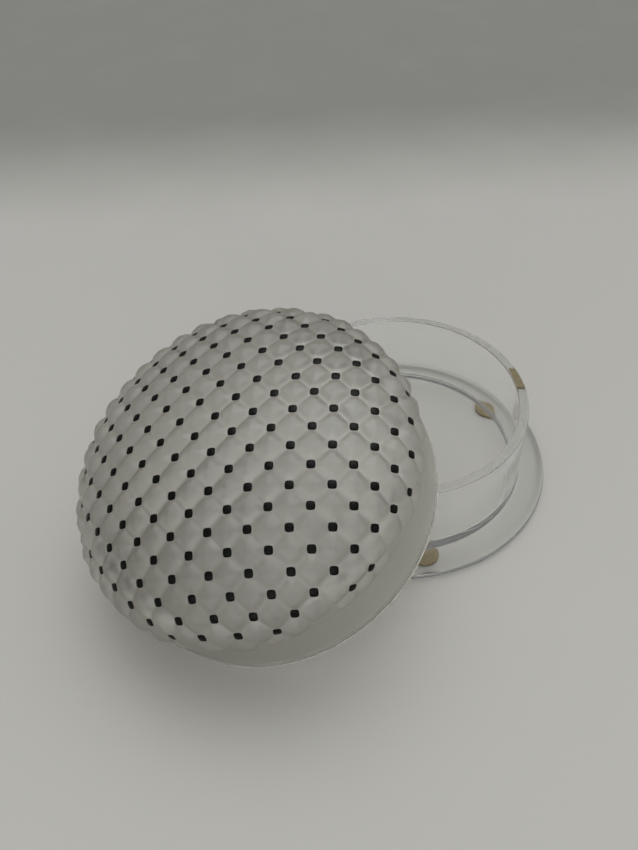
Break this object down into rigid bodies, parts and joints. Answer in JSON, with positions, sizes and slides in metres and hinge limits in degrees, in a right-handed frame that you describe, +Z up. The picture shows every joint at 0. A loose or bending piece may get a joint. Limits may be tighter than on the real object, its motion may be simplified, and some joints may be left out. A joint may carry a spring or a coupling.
{
  "type": "lidded powder dish",
  "caption": "Round clear-glass powder dish on a flanged foot with felt feet, and its frosted domed lid, quilted in relief, taken off and leaning on the dish.",
  "frame": {"origin": "middle of the footprint's length and width, on the table", "axes": "+Z up, +X from the lid towards the dish; the lid's lean lies in the XZ plane"},
  "size_m": [0.2218, 0.1448, 0.0972],
  "materials": {
    "clear_glass": "colourless pressed glass, polished",
    "frosted_glass": "satin-frosted glass, pale grey-white, with small black enamel marks in the grooves",
    "felt": "tan pressed felt, matt"
  },
  "bodies": {
    "dish": {"dish": "clear_glass", "felt_foot_1": "felt", "felt_foot_2": "felt", "felt_foot_3": "felt"},
    "lid": {"lid": "frosted_glass"}
  },
  "joints": [
    {"name": "lid_lift", "type": "slide", "parent": "dish", "child": "lid", "axis": [0, 0, 1], "range_m": [0, 0.08]}
  ]
}
